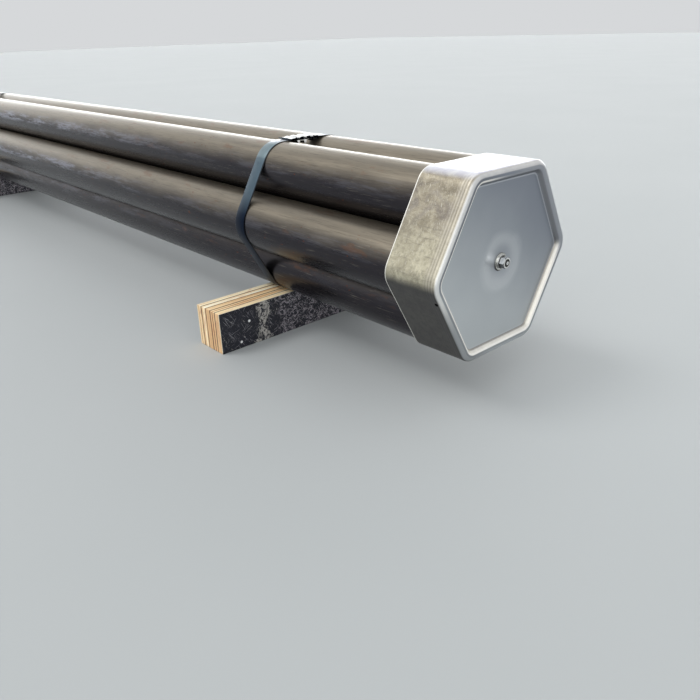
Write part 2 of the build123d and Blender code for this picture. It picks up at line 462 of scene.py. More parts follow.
def paint_cap_front(skin, height, mottle, soft):
    """Paints a cap's rim and panel: painted highlights and painted shade on the rim, a painted gradient of
    light on the panel, a painted reflected halo round the nut and a washer's painted shadow. Gives back where
    the highlights are painted, where matted, and the halo's ripples.
    """
    from_wall = skin.node("ShaderNodeAttribute", {"attribute_name": "from_wall"}, None, "Fac")
    slope_foot = rim_width + panel_slope_width
    on_fold = between(from_wall, 0.2 * mm, 1.2 * mm, 7 * mm, cap_front_radius)
    on_crest = between(from_wall, 8 * mm, 9.4 * mm, 12.2 * mm, 13 * mm)
    on_slope = between(from_wall, 12.2 * mm, 13.4 * mm, 18.6 * mm, 20 * mm)
    on_rim = between(from_wall, 1 * mm, 3 * mm, 20.4 * mm, 21.6 * mm)
    on_edge = near(from_wall, rim_width - 0.6 * mm, 2.3 * mm, 1.2 * mm)
    in_seam = near(from_wall, slope_foot - 1.1 * mm, 1.8 * mm, 0.7 * mm)
    on_root = near(from_wall, slope_foot + 1.1 * mm, 1.5 * mm, 0.7 * mm)
    across_cap = joined(0.0, skin.y, height)
    high_left = toward(across_cap, (0.0, -0.64, 0.77))
    high_right = toward(across_cap, (0.0, 0.87, 0.5))
    low_left = toward(across_cap, (0.0, -0.58, -0.82))
    from_axis = length_of(across_cap)
    left_side = step(skin.y, 0.0, -80 * mm)
    low_half = step(height, 10 * mm, -40 * mm)
    # Painted highlights on the rim: on the fold high on the left, on the slope low down and on the shoulder
    # on the left, broken up a little.
    wear_and_highlight_mottle = step(mottle + 0.5 * soft, 0.5, 0.85, 1.0, 0.85)
    fold_highlight = on_fold * step(high_left, 0.0, 90 * mm) * 0.5
    rubs_and_highlights = most(fold_highlight, on_slope * low_half, on_edge * left_side) * wear_and_highlight_mottle
    high_slope = on_slope * step(height, 0.0, 50 * mm)
    shaded = most(on_rim * step(high_right, 60 * mm, 120 * mm), high_slope)
    # Painted shade: a darker line along the crest, on the left and low down.
    crease = on_crest * most(left_side, low_half * 0.6) * (1 - 0.5 * left_side * low_half)
    # Painted shade on the rim low on the left.
    low_left_rim_shade = on_rim * left_side * step(height, -10 * mm, -60 * mm)
    lit = step(low_left + 60 * mm * (soft - 0.5), -150 * mm, 150 * mm)
    ripple = noise(joined(from_axis, 0.0, 0.0), 2.5 * mm)
    # Painted reflection: a lighter halo ring round the nut.
    halo_reflection = step(from_axis + 40 * mm * (soft - 0.5), 62 * mm, 42 * mm)
    halo_reflection = halo_reflection * step(from_axis, 18 * mm, 40 * mm)
    # Painted shadow: a dark ring round the washer, away from the upper left.
    washer_shadow = near(from_axis, 15.6 * mm, 1.6 * mm, 0.6 * mm) * step(high_left, 7 * mm, -3 * mm)
    skin.base(lit, (142, 147, 157), (207, 211, 213))
    skin.coat(halo_reflection * (0.16 + 0.4 * ripple), (222, 224, 226))
    skin.coat(shaded * 0.9, (166, 168, 174))
    skin.coat(low_left_rim_shade * 0.7, (158, 160, 162))
    skin.coat(crease * 0.8, (122, 124, 130))
    # Painted shade in the seam at the foot of the slope, low down.
    skin.coat(in_seam * step(height, 40 * mm, -20 * mm) * 0.85, (84, 84, 88))
    # Painted highlight along the root of the slope.
    skin.coat(on_root * 0.5, (214, 216, 220))
    skin.coat(washer_shadow * 0.85, (54, 54, 56))
    skin.coat(rubs_and_highlights, (254, 250, 242))
    return rubs_and_highlights, step(from_axis, 44 * mm, 24 * mm), halo_reflection * ripple


def galvanised_sheet():
    """The caps' skin: zinc-coated sheet, scratched on its walls, with painted highlights on its rim and satin
    on its panel.
    """
    skin = Finish("galvanised sheet")
    height = skin.z - pack_centre_z
    mottle = skin.pattern(7 * mm, 4, 0.7, (1, 0.7, 0.7))
    soft = skin.pattern(80 * mm, 2, 0.5)
    wall = step(abs(skin.along), 0.8, 0.4)
    wall_relief = paint_cap_walls(skin, height, mottle)
    wall_tone = skin.tone
    rubs_and_highlights, matted, halo_ripple_relief = paint_cap_front(skin, height, mottle, soft)
    skin.coat(wall, wall_tone)
    at_either_end = joined(abs(skin.x), skin.y, skin.z)
    # Painted shade in and round the vent hole.
    from_vent = vectors("DISTANCE", at_either_end, tuple(vent_place), output="Value")
    vent_shade = step(from_vent, 3.7 * mm, 2.7 * mm)
    skin.coat(vent_shade * 0.97, (6, 6, 10))
    # The painted highlights are less metallic, so that they stay bright in plain light.
    front_highlight = rubs_and_highlights * (1 - wall)
    rough_front = 0.3 + 0.08 * soft + 0.1 * front_highlight + 0.22 * matted
    rough = wall * (0.4 + 0.14 * mottle) + (1 - wall) * rough_front + 0.4 * vent_shade
    relief = wall * wall_relief + 0.1 * halo_ripple_relief
    return skin.close(relief, 0.1 * mm, Metallic=0.92 - 0.66 * front_highlight, Roughness=rough)


def zinc_plate():
    """Bright zinc on the tie rod, the nuts and the washers, with painted shade on the sides that look down
    and to the right, and painted shade with some grime in the seams between them.
    """
    skin = Finish("zinc plate")
    from_axis = length_of(joined(0.0, skin.y, skin.z - pack_centre_z))
    dull = skin.pattern(5 * mm, 3, 0.6)
    turned = skin.pattern(0.7 * mm, 2, 0.5)
    edge_on = step(abs(skin.along), 0.7, 0.4)
    on_plate = step(from_axis, 12.2 * mm, 12.8 * mm)
    round_stud = near(from_axis, 4.9 * mm, 2.3 * mm, 1.6 * mm)
    under_nut = near(from_axis, 10.3 * mm, 1.5 * mm, 0.9 * mm)
    seam_shade_and_grime = most(round_stud, under_nut * (1 - edge_on))
    low_left = step(skin.up - skin.across, 1.5, 0.4)
    skin.base(step(dull, 0.45, 0.75), (240, 240, 238), (206, 206, 202))
    # Painted shade: sides that look down, and sides that look to the right, are darkened.
    skin.coat(edge_on * (1 - on_plate) * step(skin.up, 0.1, -0.4) * 0.8, (74, 74, 76))
    skin.coat(edge_on * step(skin.across, 0.0, 0.5) * 0.8, (52, 52, 54))
    skin.coat(on_plate * 0.6, (150, 148, 138))
    # Painted shade on the plate washer's rim, away from the upper left.
    skin.coat(on_plate * edge_on * low_left * 0.85, (66, 62, 56))
    # Painted shade, with some grime, in the countersink and round the nut.
    skin.coat(seam_shade_and_grime * 0.92, (26, 25, 25))
    return skin.close(turned, 0.01 * mm, Metallic=0.95, Roughness=0.16 + 0.16 * dull + 0.3 * seam_shade_and_grime)


def strap_steel():
    """The straps' slate blue-green coat: fine lines along the band, bare rubbed inner edges, painted shade
    low down and on faces that do not look up, a painted shadow along the outer edge, and a painted highlight
    near the seal.
    """
    skin = Finish("blued strap")
    lines = skin.pattern(0.9 * mm, 3, 0.6, (1, 0.02, 0.02))
    patches = skin.pattern(40 * mm, 3, 0.6)
    skin.base(lines, (90, 109, 116), (142, 159, 164))
    skin.coat(step(patches, 0.45, 0.75, 0, 0.4), (66, 78, 84))
    # Painted shade: faces that do not look up turn deep blue.
    skin.coat(step(skin.up, 0.6, 0.44, 0, 0.9), (24, 54, 76))
    shadowed = step(skin.z, 330 * mm, 260 * mm)
    skin.coat(shadowed * 0.95, (14, 26, 46))
    from_middle = abs(skin.x) - strap_x
    inner_edge = step(from_middle, 1.2 * mm - strap_half_width, 0.1 * mm - strap_half_width)
    rubs_and_highlights = inner_edge * step(skin.pattern(7 * mm, 3, 0.6), 0.4, 0.6)
    skin.coat(rubs_and_highlights * 0.6, (150, 160, 160))
    # Painted highlight on the top faces near the seal.
    highlight_near_seal = near(skin.y, seal_middle.y, 80 * mm, 52 * mm) * step(skin.up, 0.75, 0.95)
    skin.coat(highlight_near_seal * 0.85, (232, 235, 240))
    # Painted shadow along the outer edge.
    outer_edge_shadow = step(from_middle, strap_half_width - 3.6 * mm, strap_half_width - 2.6 * mm)
    skin.coat(outer_edge_shadow * 0.9, (14, 16, 22))
    return skin.close(lines, 0.03 * mm, Metallic=0.55 + 0.43 * shadowed, Roughness=0.36 + 0.14 * lines)


def seal_steel():
    """Bare bright steel of the seals, scraped on top, with painted black shade on the sides and in the bites,
    and a painted highlight low on the sides where the lip sags.
    """
    skin = Finish("bright seal steel")
    scrape = skin.pattern(1.5 * mm, 3, 0.6, (0.15, 1, 1))
    dull = skin.pattern(9 * mm, 3, 0.6)
    skin.base(scrape, (214, 214, 212), (248, 248, 246))
    skin.coat(step(dull, 0.55, 0.75, 0, 0.4), (160, 157, 150))
    # Painted shade: the sides and the bites are near black.
    side = step(abs(skin.along), 0.3, 0.6)
    bitten = step(skin.z, seal_high.z - 0.9 * mm, seal_high.z - 2.2 * mm)
    skin.coat(most(side, bitten), (14, 15, 22))
    # Painted highlight on the low part of the sides, where the lip sags.
    sagged = step(skin.z, seal_low.z + 0.2 * mm, seal_low.z - 0.6 * mm)
    lip_highlight = side * sagged * step(skin.y, 12 * mm, 6 * mm)
    skin.coat(lip_highlight, (252, 252, 250))
    return skin.close(scrape, 0.03 * mm, Metallic=1.0 - 0.9 * lip_highlight, Roughness=0.26 + 0.18 * dull)


def laminated_timber():
    """Sawn edges of the bearers' plywood boards: pale veneers, fibres, worn patches and dark glue lines."""
    skin = Finish("sawn plywood edge")
    from_side = abs(skin.x) - bearer_low.x
    board = maths("FLOOR", from_side / board_width)
    chance = add_node("ShaderNodeTexWhiteNoise", {"noise_dimensions": "1D"}, {"W": board + 3.5}, "Value")
    fibres = skin.pattern(0.9 * mm, 4, 0.7, (1, 0.03, 0.045))
    veneers = skin.pattern(6.5 * mm, 2, 0.6, (1, 0.01, 0.01))
    stains = skin.pattern(14 * mm, 4, 0.65, (1, 0.25, 0.25), twist=0.5)
    skin.base(chance, (244, 216, 172), (218, 178, 132))
    skin.coat(step(veneers, 0.53, 0.58), (198, 150, 104))
    skin.coat(step(veneers, 0.6, 0.63), (118, 74, 44))
    skin.coat(step(veneers, 0.44, 0.38), (255, 238, 200))
    skin.coat(step(fibres, 0.52, 0.7, 0, 0.7), (158, 106, 66))
    skin.coat(step(stains, 0.54, 0.7, 0, 0.6), (182, 122, 92))
    # Painted light: faces that look up are lightened.
    skin.tone = blend(step(skin.up, 0.5, 0.9, 0, 0.95), skin.tone, skin.tone, "SCREEN")
    near_joint = step(abs(from_side / board_width % 1 - 0.5), 0.38, 0.44)
    glue = near_joint * step(skin.pattern(8 * mm, 2, 0.5, (1, 0.2, 0.2)), 0.25, 0.5, 0.6, 1.0)
    skin.coat(glue * 0.92, (62, 34, 20))
    from_far_side = board_count * board_width - from_side
    arris = step(from_side, 3 * mm, 1 * mm) + step(from_far_side, 3 * mm, 1 * mm)
    skin.coat(arris * 0.7, (255, 250, 222))
    return skin.close(fibres + veneers, 0.35 * mm, Roughness=0.62 + 0.2 * fibres)


def bearer_film():
    """Black resin film on the bearers' sides: finely scratched, crazed, worn through in a band, spotted."""
    skin = Finish("black board film")
    marks = 0.0
    for turn, size in ((38, 2.2), (-52, 1.8), (63, 2.0), (-20, 2.4), (52, 1.6)):
        scratches = skin.pattern(size * mm, 2, 0.6, (1, 0.05, 1), turn=(turn, 0, 0))
        marks = most(marks, step(scratches, 0.65, 0.71))
    patch = step(skin.pattern(50 * mm, 3, 0.6), 0.34, 0.56, 0.4, 1.0)
    from_end = skin.y - bearer_low.y
    cracks = near(skin.pattern(10 * mm, 4, 0.65, twist=0.4), 0.5, 0.032, 0.012)
    crazed = step(from_end, 131 * mm, 166 * mm) * step(skin.pattern(16 * mm, 4, 0.7), 0.36, 0.56)
    ragged = skin.pattern(9 * mm, 6, 0.8, (1, 1, 0.7), twist=1.2)
    wear_and_highlight_mottle = step(ragged + 0.13 * near(from_end, 110 * mm, 30 * mm, 6 * mm), 0.61, 0.67)
    drops = add_node("ShaderNodeTexVoronoi", None, {"Vector": skin.place, "Scale": 26}, "Distance")
    skin.base(skin.pattern(30 * mm, 3, 0.6), (10, 11, 20), (32, 32, 45))
    skin.coat(marks * patch * 0.75, (170, 168, 172))
    skin.coat(cracks * crazed * 0.95, (186, 178, 184))
    skin.coat(wear_and_highlight_mottle * 0.85, (196, 192, 184))
    skin.coat(step(drops, 0.1, 0.075), (240, 240, 238))
    return skin.close(marks + wear_and_highlight_mottle, 0.1 * mm, Roughness=0.36 + 0.3 * marks + 0.2 * wear_and_highlight_mottle)


def pale_floor():
    """The floor: plain, pale and matt."""
    skin = Finish("pale floor")
    skin.base(skin.pattern(0.9, 3, 0.5), (170, 174, 174), (178, 181, 181))
    return skin.close(Roughness=0.7)


class Maker(Graph):
    """A tree of Geometry Nodes with named inputs. It works on the mesh that it is run on."""

    def __init__(self, name):
        super().__init__(bpy.data.node_groups.new(name, "GeometryNodeTree"))
        self.keys = {}
        for way in ("INPUT", "OUTPUT"):
            self.tree.interface.new_socket("Geometry", in_out=way, socket_type="NodeSocketGeometry")
        self.entry = self.tree.nodes.new("NodeGroupInput")
        self.given = Sock(self, self.entry.outputs[0])
        self.place = self.node("GeometryNodeInputPosition")
        self.index = self.node("GeometryNodeInputIndex")

    def input(self, name, kind="Float"):
        """Adds a named input and gives back its value."""
        item = self.tree.interface.new_socket(name, in_out="INPUT", socket_type="NodeSocket" + kind)
        self.keys[name] = item.identifier
        return Sock(self, self.entry.outputs[name])

    def sizes(self, *names):
        """Adds a named input for each of some sizes and gives back their values."""
        return [self.input(name) for name in names]

    def count(self, geometry):
        """How many points a mesh has."""
        asked = {"Geometry": geometry}
        return add_node("GeometryNodeAttributeDomainSize", {"component": "MESH"}, asked, "Point Count")

    def pick(self, geometry, index):
        """The place of a mesh's point, by number. Past either end it is the last one there."""
        asked = {"Geometry": geometry, "Value": self.place, "Index": index}
        return add_node("GeometryNodeSampleIndex", {"data_type": "FLOAT_VECTOR", "clamp": True}, asked)

    def grid(self, rows, columns):
        """A sheet of rows and columns of points, with each point's row and column."""
        size = {"Size X": 1.0, "Size Y": 1.0, "Vertices X": rows, "Vertices Y": columns}
        sheet = add_node("GeometryNodeMeshGrid", None, size)
        row = maths("FLOOR", (self.index + 0.5) / columns)
        return sheet, row, self.index - row * columns

    def moved(self, geometry, place):
        """A mesh with its points at a new place."""
        return add_node("GeometryNodeSetPosition", None, {"Geometry": geometry, "Position": place})

    def shifted(self, geometry, shift):
        """A mesh with its points moved by some way."""
        return add_node("GeometryNodeSetPosition", None, {"Geometry": geometry, "Offset": shift})

    def welded(self, geometry):
        """A mesh with the points that meet made one."""
        return add_node("GeometryNodeMergeByDistance", None, {"Geometry": geometry, "Distance": weld_reach})

    def close(self, geometry):
        """Ends the tree in real meshes with a finish."""
        real = add_node("GeometryNodeRealizeInstances", None, {"Geometry": geometry})
        coat = {"Geometry": real, "Material": self.input("Finish", "Material")}
        self.end("NodeGroupOutput", add_node("GeometryNodeSetMaterial", None, coat))
        return self

    def run(self, mesh, finish, values):
        """Runs the tree on a mesh and gives back the plain mesh that it makes."""
        carrier = put("carrier", mesh)
        work = carrier.modifiers.new(self.tree.name, "NODES")
        work.node_group = self.tree
        for name, value in {**values, "Finish": finish}.items():
            work[self.keys[name]] = value
        made = plain_mesh(carrier, work)
        bpy.data.objects.remove(carrier)
        return made


def turning():
    """Turns a section about a line along X. The mesh holds its points, as places along and radii."""
    lathe = Maker("turning")
    sides = lathe.input("Sides", "Int")
    axis_y, axis_z = lathe.sizes("Axis Y", "Axis Z")
    points = lathe.count(lathe.given)
    sheet, row, column = lathe.grid(points + 1, sides + 1)
    along, radius = parts(lathe.pick(lathe.given, row % points + 0.1))[:2]
    angle = column * (2 * pi) / sides
    y = axis_y + radius * maths("COSINE", angle)
    z = axis_z + radius * maths("SINE", angle)
    return lathe.close(lathe.welded(lathe.moved(sheet, joined(along, y, z))))


def threading():
    """Cuts a helical thread between two places along X. A negative depth cuts towards the axis."""
    cutter = Maker("threading")
    axis_y, axis_z, start, end = cutter.sizes("Axis Y", "Axis Z", "Start", "End")
    pitch, depth, run_out = cutter.sizes("Pitch", "Depth", "Run-out")
    x, y, z = parts(cutter.place)
    from_axis = joined(0.0, y - axis_y, z - axis_z)
    turn = maths("ARCTAN2", z - axis_z, y - axis_y) / (2 * pi)
    flank = abs((x / pitch - turn) % 1 - 0.5) * 2
    groove = add_node("ShaderNodeMapRange", None, {"Value": flank, "From Min": 0.25, "From Max": 0.75})
    inside = step((x - start) / run_out, 0.0, 1.0) * step((end - x) / run_out, 0.0, 1.0)
    cut = scaled(from_axis, (depth * groove * inside) / length_of(from_axis))
    return cutter.close(cutter.shifted(cutter.given, cut))


def banding():
    """Lays a flat band along a path across X. The mesh holds the path's points."""
    layer = Maker("banding")
    width, thickness, edge = layer.sizes("Width", "Thickness", "Edge")
    corner_steps = 3
    sheet, row, column = layer.grid(layer.count(layer.given), 4 * corner_steps + 1)
    here = layer.pick(layer.given, row + 0.1)
    ahead = vectors("SUBTRACT", layer.pick(layer.given, row + 1.1), layer.pick(layer.given, row - 0.9))
    outward = vectors("NORMALIZE", vectors("CROSS_PRODUCT", ahead, (1, 0, 0)))
    corner = maths("FLOOR", (column + 0.5) / corner_steps)
    quarter = corner * (pi / 2) + pi / 4
    angle = corner * (pi / 2) + (column - corner * corner_steps) * (pi / 2 / (corner_steps - 1))
    side_x = maths("SIGN", maths("COSINE", quarter)) * (width / 2 - edge)
    side_z = maths("SIGN", maths("SINE", quarter)) * (thickness / 2 - edge)
    sideways = joined(side_x + edge * maths("COSINE", angle), 0.0, 0.0)
    outwards = scaled(outward, side_z + edge * maths("SINE", angle))
    place = vectors("ADD", here, vectors("ADD", sideways, outwards))
    return layer.close(layer.welded(layer.moved(sheet, place)))


def crimping():
    """Crimps a band's or a seal's edges in a row along Y: bites driven down, the metal between lifted."""
    tool = Maker("crimping")
    row_middle = tool.input("Middle", "Vector")
    count = tool.input("Count", "Int")
    half_width, pitch, depth, lift, sag = tool.sizes("Half width", "Pitch", "Depth", "Lift", "Sag")
    x, y, z = parts(vectors("SUBTRACT", tool.place, row_middle))
    along_row = y / (count * pitch / 2)
    at_edge = step(abs(x) / half_width, 0.5, 0.8)
    in_row = step(abs(along_row), 1.0, 0.9)
    bite = step(abs((y / pitch + count / 2) % 1 - 0.5), 0.24, 0.12)
    slack = between(along_row, -1.35, -0.2, 0.2, 0.6) * step(z, -0.8 * mm, -1.6 * mm) * sag
    rise = at_edge * (in_row * ((1 - bite) * lift - bite * depth) - slack)
    return tool.close(tool.shifted(tool.given, joined(0.0, 0.0, rise)))


def boarding():
    """Stacks sawn boards side by side along X, each a little shorter and lower than the space it has."""
    stack = Maker("boarding")
    low = stack.input("Low corner", "Vector")
    size = stack.input("Size", "Vector")
    count = stack.input("Count", "Int")
    uneven = stack.input("Unevenness")
    width, length, height = parts(size)
    board = width / count
    blank = {"Size": joined(board, length, height), "Vertices X": 3, "Vertices Y": 90, "Vertices Z": 16}
    plank = add_node("GeometryNodeMeshCube", None, blank, "Mesh")
    start = vectors("ADD", low, joined(board / 2, length / 2, height / 2))
    line = {"Count": count, "Start Location": start, "Offset": joined(board, 0.0, 0.0)}
    row = add_node("GeometryNodeMeshLine", None, line)
    least = joined(1.0, 1 - 2 * uneven / length, 1 - 2 * uneven / height)
    shrink = {"Min": least, "Max": (1, 1, 1), "Seed": 4}
    trim = add_node("FunctionNodeRandomValue", {"data_type": "FLOAT_VECTOR"}, shrink)
    laid = add_node("GeometryNodeInstanceOnPoints", None, {"Points": row, "Instance": plank, "Scale": trim})
    real = add_node("GeometryNodeRealizeInstances", None, {"Geometry": laid})
    saw = noise(stack.place, 9 * mm, 3, 0.6, stretch=(1, 0.25, 0.25)) * uneven * 2
    centre = vectors("ADD", low, scaled(size, 0.5))
    y, z = parts(vectors("SUBTRACT", centre, stack.place))[1:]
    inward = [
        maths("SIGN", way) * step(abs(way) - reach / 2 + 3 * mm, 0.0, 1 * mm) * saw
        for way, reach in ((y, length), (z, height))
    ]
    return stack.close(stack.shifted(real, joined(0.0, *inward)))


def pressing():
    """Presses a cap's sheet: slack waves in its walls, draw lines behind its front, and a crowned panel."""
    press = Maker("pressing")
    front, axis_z, wave, crown = press.sizes("Front", "Axis Z", "Wave", "Crown")
    line_depth, line_pitch = press.sizes("Draw line depth", "Draw line pitch")
    x, y, z = parts(press.place)
    from_axis = joined(0.0, y, z - axis_z)
    radius = length_of(from_axis)
    from_front = front - abs(x)
    wall = step(from_front, 9 * mm, 16 * mm)
    slack = noise(press.place, 70 * mm) * wave
    line = maths("COSINE", from_front * (2 * pi) / line_pitch) * 0.5 + 0.5
    lines = line * line_depth * step(from_front, 34 * mm, 24 * mm)
    inward = scaled(vectors("NORMALIZE", from_axis), wall * (slack + lines) * -1)
    panel = between(radius, 15 * mm, 60 * mm, 100 * mm, 128 * mm)
    face = step(from_front, 8 * mm, 6 * mm)
    outward = joined(maths("SIGN", x) * crown * panel * face, 0.0, 0.0)
    return press.close(press.shifted(press.given, vectors("ADD", inward, outward)))


def pieces_in(length, size):
    """How many pieces no longer than a size make up a length."""
    rounding = 0.0001
    return max(1, ceil(abs(length) / size - rounding))


def stations(start, end, size):
    """Evenly spaced values from start to end, no further apart than size."""
    count = pieces_in(end - start, size)
    return [start + (end - start) * i / count for i in range(count + 1)]


def arc(hub, radius, start, sweep, count):
    """Points on an arc about a hub, from a heading and through a sweep, both in degrees."""
    angles = [radians(start + sweep * k / count) for k in range(count + 1)]
    return [hub + radius * Vector((cos(angle), sin(angle))) for angle in angles]


def rounded(corners, arc_steps=6):
    """A line through corners, each given as two places and a radius, with an arc at each corner."""
    line = [Vector(corners[0][:2])]
    for before, here, after in zip(corners, corners[1:], corners[2:]):
        corner = Vector(here[:2])
        back = (Vector(before[:2]) - corner).normalized()
        on = (Vector(after[:2]) - corner).normalized()
        half = back.angle(on) / 2
        reach = here[2] / tan(half)
        hub = corner + (back + on).normalized() * (here[2] / sin(half))
        start = corner + back * reach - hub
        sweep = start.angle_signed(corner + on * reach - hub)
        for i in range(arc_steps + 1):
            line.append(hub + Matrix.Rotation(-sweep * i / arc_steps, 2) @ start)
    line.append(Vector(corners[-1][:2]))
    return line


def divided(line, size):
    """A line with points added where two are further apart than size."""
    finer = [line[0]]
    for start, end in zip(line, line[1:]):
        pieces = pieces_in((end - start).length, size)
        for i in range(pieces):
            finer.append(start + (end - start) * (i + 1) / pieces)
    return finer


def mesh_of(points, edges=(), faces=()):
    """A plain mesh."""
    mesh = bpy.data.meshes.new("draft")
    mesh.from_pydata([tuple(p) for p in points], list(edges), list(faces))
    return mesh


def section_mesh(section):
    """A section for the lathe, from its places along and radii."""
    return mesh_of([(along, radius, 0) for along, radius in section])


def closed(mesh):
    """A mesh with a face put over each hole, and all its faces outwards."""
    shape = bmesh.new()
    shape.from_mesh(mesh)
    bmesh.ops.remove_doubles(shape, verts=shape.verts, dist=weld_reach)
    bmesh.ops.holes_fill(shape, edges=[edge for edge in shape.edges if edge.is_boundary], sides=0)
    bmesh.ops.recalc_face_normals(shape, faces=shape.faces)
    shape.to_mesh(mesh)
    shape.free()
    return mesh


def loft(rings, mark_name="", marks=()):
    """A closed skin through a loop of rings of as many points. It can carry a value for each ring."""
    count = len(rings[0])
    faces = []
    for i in range(len(rings)):
        after = (i + 1) % len(rings)
        for k in range(count):
            beside = (k + 1) % count
            faces.append((i * count + k, i * count + beside, after * count + beside, after * count + k))
    skin = mesh_of([point for ring in rings for point in ring], (), faces)
    if mark_name:
        values = [mark for mark in marks for point in rings[0]]
        skin.attributes.new(mark_name, "FLOAT", "POINT").data.foreach_set("value", values)
    return closed(skin)


def dress(node, slot, mesh, *finishes, crease=32):
    """Makes the finished piece that stands for a node: outward faces, smooth but for its sharp edges."""
    closed(mesh)
    slots = [face.material_index for face in mesh.polygons]
    mesh.materials.clear()
    for finish in finishes:
        mesh.materials.append(finish)
    for face, number in zip(mesh.polygons, slots):
        face.material_index = min(number, len(finishes) - 1)
    mesh.shade_smooth()
    mesh.set_sharp_from_angle(angle=radians(crease))
    piece = put("finished_" + node, mesh)
    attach(piece, "root")
    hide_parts(node)


def rod_section(nose_x, face_x):
    """Half of a rod's section, as places along and radii, close together where the threads are."""
    shoulder_x = nose_x + pin_length
    bottom_x = face_x - box_depth
    spacing = rod_thread_pitch / 10
    pin = [
        (x, pin_nose_radius + (pin_root_radius - pin_nose_radius) * (x - nose_x) / pin_length)
        for x in stations(nose_x + rod_edge, shoulder_x, spacing)
    ]
    box = [
        (x, box_mouth_radius - (box_mouth_radius - box_end_radius) * (face_x - x) / box_depth)
        for x in stations(face_x - rod_edge, bottom_x, spacing)
    ]
    body = [
        (shoulder_x, rod_radius - rod_edge),
        (shoulder_x + rod_edge, rod_radius),
        (face_x - rod_edge, rod_radius),
        (face_x, rod_radius - rod_edge),
        (face_x, box_mouth_radius + rod_edge / 2),
    ]
    bore = [(bottom_x, rod_bore_radius), (nose_x, rod_bore_radius), (nose_x, pin_nose_radius - rod_edge / 2)]
    return pin + body + box + bore


def make_rods():
    """Seven rods, each with a pin thread at one end and a box thread at the other."""
    finish = oiled_steel()
    lathe = turning()
    cutter = threading()
    for node in ("rod_centre", *rods_from_right, *rods_from_top_left):
        low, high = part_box(node)
        axis = {"Axis Y": middle(node).y, "Axis Z": middle(node).z}
        thread = {"Pitch": rod_thread_pitch, "Run-out": rod_thread_pitch, **axis}
        pin = {"Start": low.x + rod_edge, "End": low.x + pin_length - rod_edge, "Depth": -rod_thread_depth}
        box = {"Start": high.x - box_depth, "End": high.x - 2 * rod_edge, "Depth": rod_thread_depth}
        rod = lathe.run(section_mesh(rod_section(low.x, high.x)), finish, {"Sides": rod_sides, **axis})
        rod = cutter.run(rod, finish, {**thread, **pin})
        rod = cutter.run(rod, finish, {**thread, **box})
        dress(node, "oiled_steel", rod, finish)


def hexagon_ring(x, half_height, corner_radius, arc_steps=12, side_steps=22):
    """A rounded hexagon lying on a flat, across the bundle at x."""
    hub_reach = (half_height - corner_radius) / cos(radians(30))
    hubs = arc(Vector((0, 0)), hub_reach, 0, 360, 6)[:-1]
    corners = [arc(hub, corner_radius, 60 * i - 30, 60, arc_steps) for i, hub in enumerate(hubs)]
    ring = []
    for corner, after in zip(corners, corners[1:] + corners[:1]):
        ring += corner
        for k in range(1, side_steps):
            ring.append(corner[-1].lerp(after[0], k / side_steps))
    return [(x, place.x, pack_centre_z + place.y) for place in ring]


def cap_skin(inset, spacing):
    """One skin of a cap, from its open edge to the tie rod's hole: places along, half heights and radii."""
    front_x = cap_high.x - inset
    wall = cap_half_height - inset
    shift = inset * (hypot(panel_slope_width, panel_recess) - panel_slope_width) / panel_recess
    panel = cap_half_height - rim_width + shift
    hole = tie_radius + tie_hole_clearance
    corners = [
        (cap_low.x, wall),
        (front_x - rim_crown, wall, cap_front_radius - inset),
        (front_x, wall - rim_crest_from_wall, rim_crest_radius - inset),
        (front_x - rim_shoulder_drop, panel, rim_shoulder_radius - inset),
        (front_x - panel_recess, panel - panel_slope_width, panel_root_radius + inset),
        (front_x - panel_recess, dish_radius, dish_bend_radius - inset),
        (front_x - panel_recess - dish_depth, dish_floor_radius, dish_bend_radius + inset),
        (front_x - panel_recess - dish_depth, hole),
    ]
    fold = wall - cap_front_radius + inset
    round_reach = dish_radius + round_from_dish
    known = [
        (wall, cap_corner_radius - inset),
        (fold, cap_corner_radius - cap_front_radius),
        (panel, panel_corner_radius + shift),
        (panel - panel_slope_width, panel_corner_radius + shift - panel_slope_width),
        (round_reach, nearly_round * round_reach),
        (hole, nearly_round * hole),
    ]
    rings = []
    for place in divided(rounded(corners), spacing):
        for (high, at_high), (low, at_low) in zip(known, known[1:]):
            if place.y >= low - 0.001 * mm:
                share = min(1, max(0, (place.y - low) / (high - low)))
                rings.append((place.x, place.y, at_low + (at_high - at_low) * share))
                break
    return rings


def bored(mesh, place, direction, radius, depth, finish):
    """A mesh with a round hole bored through it."""
    turn = Vector(direction).to_track_quat("Z", "Y").to_matrix().to_4x4()
    bit = bmesh.new()
    bmesh.ops.create_cone(
        bit, cap_ends=True, segments=vent_sides, radius1=radius, radius2=radius, depth=depth,
        matrix=Matrix.Translation(place) @ turn,
    )
    bit_mesh = mesh_of([])
    bit.to_mesh(bit_mesh)
    bit.free()
    bit_mesh.materials.append(finish)
    blank = put("blank", mesh)
    drill = put("drill", bit_mesh)
    cut = blank.modifiers.new("bore", "BOOLEAN")
    cut.object = drill
    cut.operation = "DIFFERENCE"
    made = plain_mesh(blank, cut)
    bpy.data.objects.remove(blank)
    bpy.data.objects.remove(drill)
    return made


